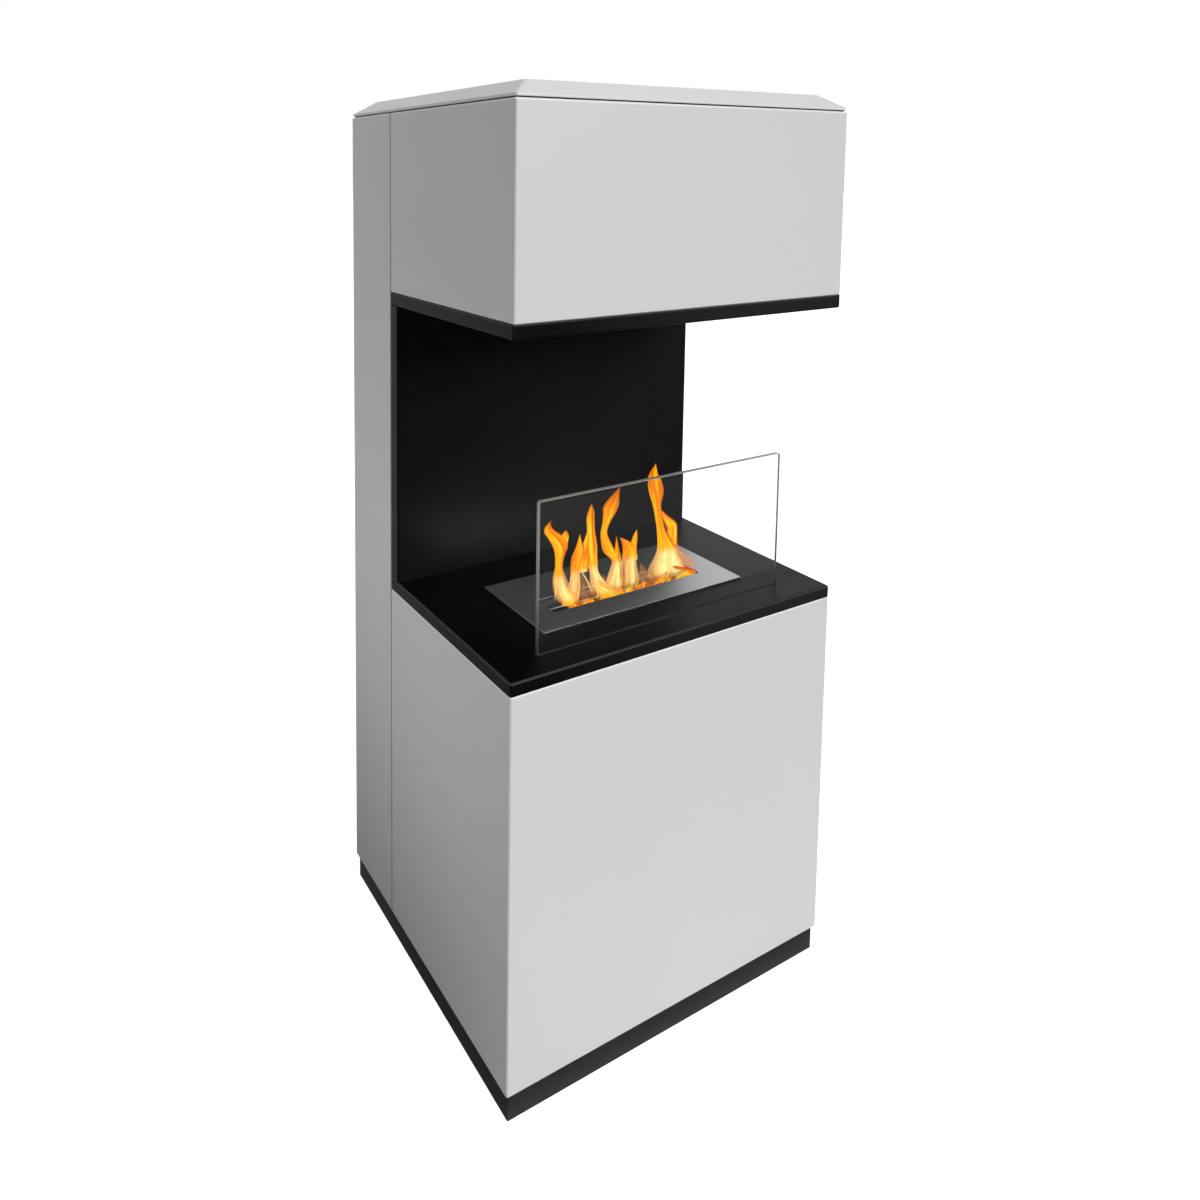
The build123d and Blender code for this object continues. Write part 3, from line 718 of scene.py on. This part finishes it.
# each station: centre x, height above the shelf, half width; millimetres, foot to tip
TONGUES = [
    [
        (-85, 1, 11), (-93, 14, 14), (-98, 32, 11), (-98, 47, 6), (-96, 62, 7),
        (-95, 75, 11), (-103, 88, 11), (-112, 97, 8), (-114, 104, 4), (-110, 111, 0),
    ],
    [(-96, 62, 6), (-92, 76, 8), (-88, 86, 6), (-86, 94, 0)],
    [
        (-33, -1, 15), (-38, 14, 13), (-43, 31, 7), (-44, 47, 8), (-45, 65, 9),
        (-46, 85, 6), (-47, 102, 6), (-46, 112, 4), (-46, 121, 0),
    ],
    [
        (-79, 0, 5), (-77, 17, 8), (-74, 35, 7), (-71, 48, 8), (-68, 57, 9),
        (-65, 65, 7), (-65, 76, 3), (-65, 86, 0),
    ],
    [(-60, 36, 6), (-58, 50, 9), (-55, 63, 6), (-52, 77, 4), (-50, 91, 0)],
    [
        (-20, -1, 15), (-17, 11, 11), (-10, 26, 9), (-6, 39, 7), (-16, 52, 9), (-22, 66, 7),
        (-25, 79, 5), (-21, 92, 6), (-16, 104, 10), (-14, 112, 12), (-8, 123, 7), (1, 136, 0),
    ],
    [(-7, 2, 6), (-6, 20, 6), (-5, 37, 6), (-5, 55, 3), (-6, 72, 0)],
    [(9, -1, 15), (12, 9, 16), (13, 25, 13), (15, 40, 11), (16, 51, 10), (10, 60, 6), (0, 68, 0)],
    [(22, 35, 7), (24, 49, 5), (27, 62, 4), (30, 73, 0)],
    [
        (88, -1, 36), (86, 6, 43), (83, 19, 39), (81, 30, 26), (80, 42, 17), (72, 60, 8),
        (66, 82, 6), (62, 102, 7), (61, 118, 12), (58, 130, 12), (57, 138, 9), (58, 147, 5),
        (60, 153, 2), (60, 157, 0),
    ],
    [(81, 28, 16), (88, 44, 10), (91, 58, 8), (88, 70, 9), (78, 82, 5), (69, 94, 0)],
]
# the bright root of the left tongue
LEFT_ROOT = [[(-85, 2, 12), (-85, 10, 12), (-85, 17, 9), (-87, 23, 0)]]
# low fire and embers along the slot's front edge
LOW_FIRE = [
    [(-21, -1, 21), (-24, 4, 21), (-29, 11, 16), (-39, 18, 8), (-46, 27, 0)],
    [(97, -1, 18), (99, 2, 15), (103, 5, 9), (107, 8, 0)],
    [(4, -1, 9), (5, 2, 8), (9, 7, 0)],
]
EMBERS = [
    [(-82, 0, 12), (-82, 3, 11), (-80, 7, 0)],
    [(-60, -1, 12), (-61, 2, 10), (-58, 6, 0)],
    [(-20, -1, 24), (-21, 2, 22), (-30, 8, 0)],
    [(17, -1, 10), (18, 3, 9), (23, 8, 0)],
    [(33, -1, 9), (33, 3, 8), (29, 10, 0)],
    [(53, -1, 16), (57, 3, 12), (64, 8, 6), (70, 13, 0)],
    [(73, -1, 6), (73, 4, 4), (72, 9, 0)],
    [(101, -1, 20), (104, 2, 16), (112, 5, 0)],
]
# the glowing right end of the slot, below the last tongue
GLOW = [[(117, 3, 3), (110, 7, 7), (98, 11, 8), (87, 15, 6), (80, 19, 1)]]
# faint peach haze between the tongues
VEILS = [
    [(-62, -1, 14), (-62, 12, 13), (-63, 24, 9), (-66, 37, 0)],
    [(42, -1, 18), (40, 8, 13), (36, 16, 7), (33, 29, 0)],
    [(-26, -1, 20), (-26, 8, 14), (-28, 16, 6), (-28, 27, 0)],
]
# thin bright licks: x and height above the shelf, millimetres
LICKS = [
    [(-45, 52), (-46, 38), (-44, 26), (-40, 16), (-33, 9), (-22, 5), (-8, 4)],
    [(-66, 38), (-62, 34), (-57, 26), (-53, 16), (-50, 4)],
    [(-2, 56), (-3, 44), (-4, 32), (-3, 20), (-4, 8)],
    [(18, 52), (19, 40), (20, 30), (17, 16), (15, 4)],
    [(68, 19), (73, 14), (75, 8), (76, 2)],
    [(-107, 10), (-104, 24), (-103, 38), (-101, 52)],
    [(-73, 2), (-72, 10), (-75, 18)],
    [(-86, 20), (-80, 32), (-74, 44), (-70, 54)],
]
FRONT_LICKS = [
    [(27, 6), (33, 1), (42, 0), (52, 3), (60, 7), (67, 13)],
    [(65, 0), (68, 5), (70, 10)],
    [(-47, 0), (-46, 6), (-43, 12)],
    [(14, 0), (15, 6), (18, 12)],
]


def flame_y(z, foot_y):
    """The middle of the flames at a height: up through the slot, then drifting back."""
    return foot_y + FLAME_LEAN * smoothstep((z - SHELF_TOP) / FLAME_LEAN_HEIGHT)


def tongue_ring(bm, x, y, z, half, depth):
    """A lens-shaped ring, flat in z."""
    ring = []
    for k in range(SIDES):
        turn = 2.0 * math.pi * k / SIDES
        ring.append(bm.verts.new((x + half * math.cos(turn), y + depth * math.sin(turn), z)))
    return ring


def across_share(k):
    """Where a ring's corner lies from the left edge, 0, to the right edge, 1."""
    return 0.5 + EDGE_SHARE * math.cos(2.0 * math.pi * k / SIDES)


def add_tongue(bm, layer, number, stations, foot_y, width_share):
    """A closed, lens-shaped tongue of flame lofted through the stations."""
    deepest = width_share * (DEEPEST if foot_y == FIRE_Y else SHALLOW)
    aside = TONGUE_ASIDE * (number % 3 - 1)
    rows = []
    for step in range(RINGS + 1):
        share = step / RINGS
        x, height, half = [value / 1000 for value in between(stations, share)]
        z = max(SHELF_TOP + height, FLAME_FOOT)
        half = max(THINNEST, half * width_share)
        y = flame_y(z, foot_y) + aside
        rows.append((tongue_ring(bm, x, y, z, half, min(0.5 * half, deepest)), share))
    for (below, low_share), (above, high_share) in zip(rows, rows[1:]):
        for k in range(SIDES):
            after = (k + 1) % SIDES
            face = bm.faces.new([below[k], below[after], above[after], above[k]])
            places = ((k, low_share), (after, low_share), (after, high_share), (k, high_share))
            for loop, (corner, share) in zip(face.loops, places):
                loop[layer].uv = (number + across_share(corner), share)
    for (ring, share), corners in ((rows[0], rows[0][0][::-1]), (rows[-1], rows[-1][0])):
        face = bm.faces.new(corners)
        for loop in face.loops:
            loop[layer].uv = (number + 0.5, share)


def flame_piece(name, material, tongues, foot_y=FIRE_Y, width_share=1.0):
    """One piece made of several tongues."""
    bm = bmesh.new()
    layer = bm.loops.layers.uv.new("flame")
    for number, stations in enumerate(tongues):
        add_tongue(bm, layer, number, stations, foot_y, width_share)
    return add_piece(name, finished_mesh(bm, name), material, "burner")


def lick_stations(points):
    """A thin lick as the stations of a tongue, thickest at its middle."""
    count = len(points) - 1
    reach = LICK_RADIUS * 1000
    stations = []
    for k, (x, height) in enumerate(points):
        wave = LICK_ENDS + (1 - 2 * LICK_ENDS) * k / count
        stations.append((x, height, reach * math.sin(math.pi * wave)))
    return stations


outer_fire = flame("fire_outer", 0.64, 0.58, 0.86)
inner_fire = flame("fire_inner", 0.84, 0.36, 0.50)
low_fire = flame("fire_low", 0.74, 0.68, 0.68, 0.4, 1.0)
ember_fire = flame("fire_embers", 0.46, 0.74, 0.74, 0.0, 1.0, 0.7)
veil_fire = flame("fire_veil", 0.34, 0.24, 0.24, 0.8, 0.6)
bright_fire = flame("fire_bright", 1.00, 0.42, 0.30, 0.9, 1.0)
glow_fire = flame("fire_glow", 0.36, 0.80, 0.80, 0.0, 1.0, 0.3)
licks = [lick_stations(points) for points in LICKS]
front_licks = [lick_stations(points) for points in FRONT_LICKS]
flames = [
    flame_piece("flames_outer", outer_fire, TONGUES),
    flame_piece("flames_inner", inner_fire, TONGUES, FIRE_Y, 0.5),
    flame_piece("flame_left_root", low_fire, LEFT_ROOT),
    flame_piece("flames_low", low_fire, LOW_FIRE, FRONT_Y),
    flame_piece("flame_embers", ember_fire, EMBERS, FRONT_Y),
    flame_piece("flame_glow", glow_fire, GLOW, FRONT_Y),
    flame_piece("flame_veils", veil_fire, VEILS),
    flame_piece("flame_licks", bright_fire, licks),
    flame_piece("flame_front_licks", bright_fire, front_licks, FRONT_Y),
]
for piece in flames:
    piece.visible_diffuse = False
    piece.visible_glossy = False
    piece.visible_shadow = False

# --------------------------------------------------------------------------
# Floor, lights and background
# --------------------------------------------------------------------------

FLOOR_REACH = 40.0
# how bright the floor is to the surfaces above it: in shade, in light and far away
BOUNCE_SHADE, BOUNCE_LIT, BOUNCE_FAR = grey(0.08), grey(0.97), grey(0.66)
LIT_FROM, LIT_FULL = -0.4, 0.2  # x minus y, which grows toward the front right
FAR_FROM, FAR_FULL = 0.6, 2.0  # from the middle of the floor
FLOOR_SEEN, FLOOR_MIRRORED = grey(0.75), grey(0.24)
FLOOR_GLOW = 0.84  # lifts the floor that the camera sees to white
GLOW_BEHIND = 0.8  # the same for the mirrored floor behind the fireplace
BEHIND_FULL = 1.5
HORIZON, ZENITH = 0.15, 0.60  # light of the sky, times what follows
SKY_LEFT, SKY_RIGHT = 0.92, 1.10
MIRROR_DIM, MIRROR_WHITE = 0.03, 1.0  # the sky in reflections, in front and behind
MIRROR_FRONT, MIRROR_REAR = -0.05, 0.50


def make_floor():
    """A pale floor that fades into the white background and keeps the shadow."""
    mesh = bpy.data.meshes.new("floor")
    signs = ((-1, -1), (1, -1), (1, 1), (-1, 1))
    corners = [(x * FLOOR_REACH, y * FLOOR_REACH, 0) for x, y in signs]
    mesh.from_pydata(corners, [], [(0, 1, 2, 3)])
    floor = bpy.data.objects.new("floor", mesh)
    bpy.context.scene.collection.objects.link(floor)
    material, tree, shader = new_material("floor")
    shader.inputs["Roughness"].default_value = 0.9
    shader.inputs["Specular IOR Level"].default_value = 0.0
    rays = node(tree, "ShaderNodeLightPath")
    straight = seen_straight(tree, rays)
    glossy = mirrored_only(tree, rays, straight)
    place = position(tree)
    aside = maths(tree, "SUBTRACT", place.outputs["X"], place.outputs["Y"])
    lit_side = remap(tree, aside, 0.0, 1.0, LIT_FROM, LIT_FULL)
    bounce = two_colours(tree, lit_side, BOUNCE_SHADE, BOUNCE_LIT)
    distance = node(tree, "ShaderNodeVectorMath", operation="LENGTH")
    link(tree, object_coords(tree), distance.inputs[0])
    far = remap(tree, distance.outputs["Value"], 0.0, 1.0, FAR_FROM, FAR_FULL)
    bounce = two_colours(tree, far, bounce, BOUNCE_FAR)
    colour = two_colours(tree, straight, bounce, FLOOR_SEEN)
    colour = two_colours(tree, glossy, colour, FLOOR_MIRRORED)
    link(tree, colour, shader.inputs["Base Color"])
    behind = remap(tree, place.outputs["Y"], 0.0, GLOW_BEHIND, 0.0, BEHIND_FULL)
    behind = maths(tree, "MULTIPLY", glossy, behind)
    glow = maths(tree, "ADD", maths(tree, "MULTIPLY", straight, FLOOR_GLOW), behind)
    link(tree, glow, shader.inputs["Emission Strength"])
    shader.inputs["Emission Color"].default_value = (1.0, 1.0, 1.0, 1.0)
    mesh.materials.append(material)


def make_world():
    """White to the camera, softer to the surfaces that it lights, and softest from the left."""
    world = bpy.data.worlds.new("studio")
    bpy.context.scene.world = world
    world.use_nodes = True
    tree = world.node_tree
    background = tree.nodes["Background"]
    background.inputs["Color"].default_value = (1.0, 1.0, 1.0, 1.0)
    rays = node(tree, "ShaderNodeLightPath")
    coords = node(tree, "ShaderNodeTexCoord")
    split = node(tree, "ShaderNodeSeparateXYZ")
    link(tree, coords.outputs["Generated"], split.inputs["Vector"])
    rearward = split.outputs["Y"]
    mirrored = remap(tree, rearward, MIRROR_DIM, MIRROR_WHITE, MIRROR_FRONT, MIRROR_REAR)
    straight = seen_straight(tree, rays)
    glossy = mirrored_only(tree, rays, straight)
    shown = maths(tree, "ADD", maths(tree, "MULTIPLY", glossy, mirrored), straight)
    lit = maths(tree, "SUBTRACT", 1.0, maths(tree, "MAXIMUM", glossy, straight))
    from_above = remap(tree, split.outputs["Z"], HORIZON, ZENITH)
    from_right = remap(tree, split.outputs["X"], SKY_LEFT, SKY_RIGHT, -1.0, 1.0)
    light = maths(tree, "MULTIPLY", lit, maths(tree, "MULTIPLY", from_above, from_right))
    link(tree, maths(tree, "ADD", shown, light), background.inputs["Strength"])


def aim(thing, target):
    """Turn a lamp toward a point."""
    thing.rotation_euler = (Vector(target) - thing.location).to_track_quat("-Z", "Y").to_euler()


def make_lights():
    """A soft key from the front right and a weak warm lamp close on the left."""
    key = bpy.data.lights.new("key", "SUN")
    key.energy = 2.12
    key.angle = math.radians(22)
    key_lamp = bpy.data.objects.new("key", key)
    key_lamp.location = (1.4, -3.4, 1.9)
    aim(key_lamp, (0, 0, 0.5))
    fill = bpy.data.lights.new("fill", "AREA")
    fill.shape = "RECTANGLE"
    fill.size = 0.5
    fill.size_y = 0.3
    fill.energy = 0.60
    fill.color = (1.0, 0.94, 0.90)
    fill_lamp = bpy.data.objects.new("fill", fill)
    fill_lamp.location = (-0.72, -0.04, 0.42)
    aim(fill_lamp, (-0.25, -0.04, 0.42))
    for lamp in (key_lamp, fill_lamp):
        bpy.context.scene.collection.objects.link(lamp)


def make_camera():
    """The photograph's view: a camera just over a metre up, front left of the fireplace."""
    camera = bpy.data.cameras.new("camera")
    camera.sensor_width = 36.0
    camera.lens = 27.147
    camera.shift_x = 0.1536
    camera.shift_y = -0.2940
    camera.dof.use_dof = False
    holder = bpy.data.objects.new("camera", camera)
    holder.location = (-0.7631, -0.9709, 1.0547)
    holder.rotation_euler = (math.radians(90 - 4.821), 0, math.radians(-27.574))
    bpy.context.scene.collection.objects.link(holder)
    bpy.context.scene.camera = holder


make_floor()
make_world()
make_lights()
make_camera()
bpy.context.scene.view_settings.view_transform = "Standard"
